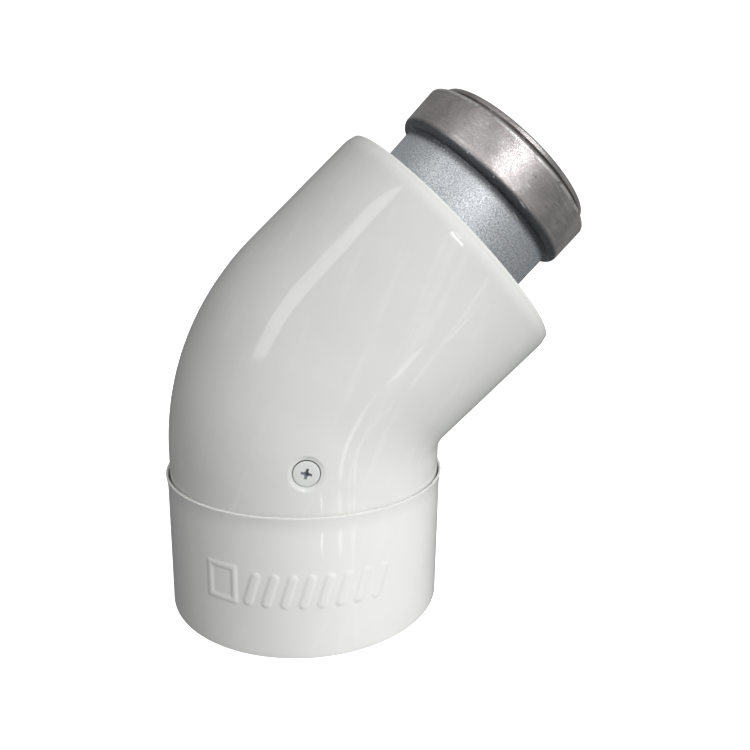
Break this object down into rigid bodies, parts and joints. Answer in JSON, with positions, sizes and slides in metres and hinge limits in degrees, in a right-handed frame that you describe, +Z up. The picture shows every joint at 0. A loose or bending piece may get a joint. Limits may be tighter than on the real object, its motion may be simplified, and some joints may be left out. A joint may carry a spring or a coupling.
{
  "type": "flue elbow",
  "caption": "Concentric 45 degree flue elbow: cast metal flue with a beaded socket inside a white air duct with a collar clamp.",
  "frame": {"origin": "centre of the clamp's lower edge, on the axis of the lower ends", "axes": "+Z up along the lower ends; the bend lies in the XZ plane and the upper ends lean towards +X; the emblem and the first fixing screw face -Y"},
  "size_m": [0.1494, 0.1139, 0.1838],
  "materials": {
    "white_paint": "gloss",
    "clamp_paint": "gloss",
    "painted_screw": "satin",
    "cast_aluminium": "cast, shot-blasted",
    "seal_rubber": "matte",
    "zinc_steel": "zinc plated"
  },
  "bodies": {
    "root": {"outer_elbow": "white_paint", "flue_elbow": "cast_aluminium", "flue_lip_seal": "seal_rubber", "fixing_screw_front": "painted_screw", "fixing_screw_rear": "painted_screw", "screw_seal_front": "seal_rubber", "screw_seal_rear": "seal_rubber", "clamp_band": "clamp_paint", "clamp_screw_lower": "zinc_steel", "clamp_washer_lower": "zinc_steel", "clamp_nut_lower": "zinc_steel", "clamp_screw_upper": "zinc_steel", "clamp_washer_upper": "zinc_steel", "clamp_nut_upper": "zinc_steel"}
  },
  "joints": []
}
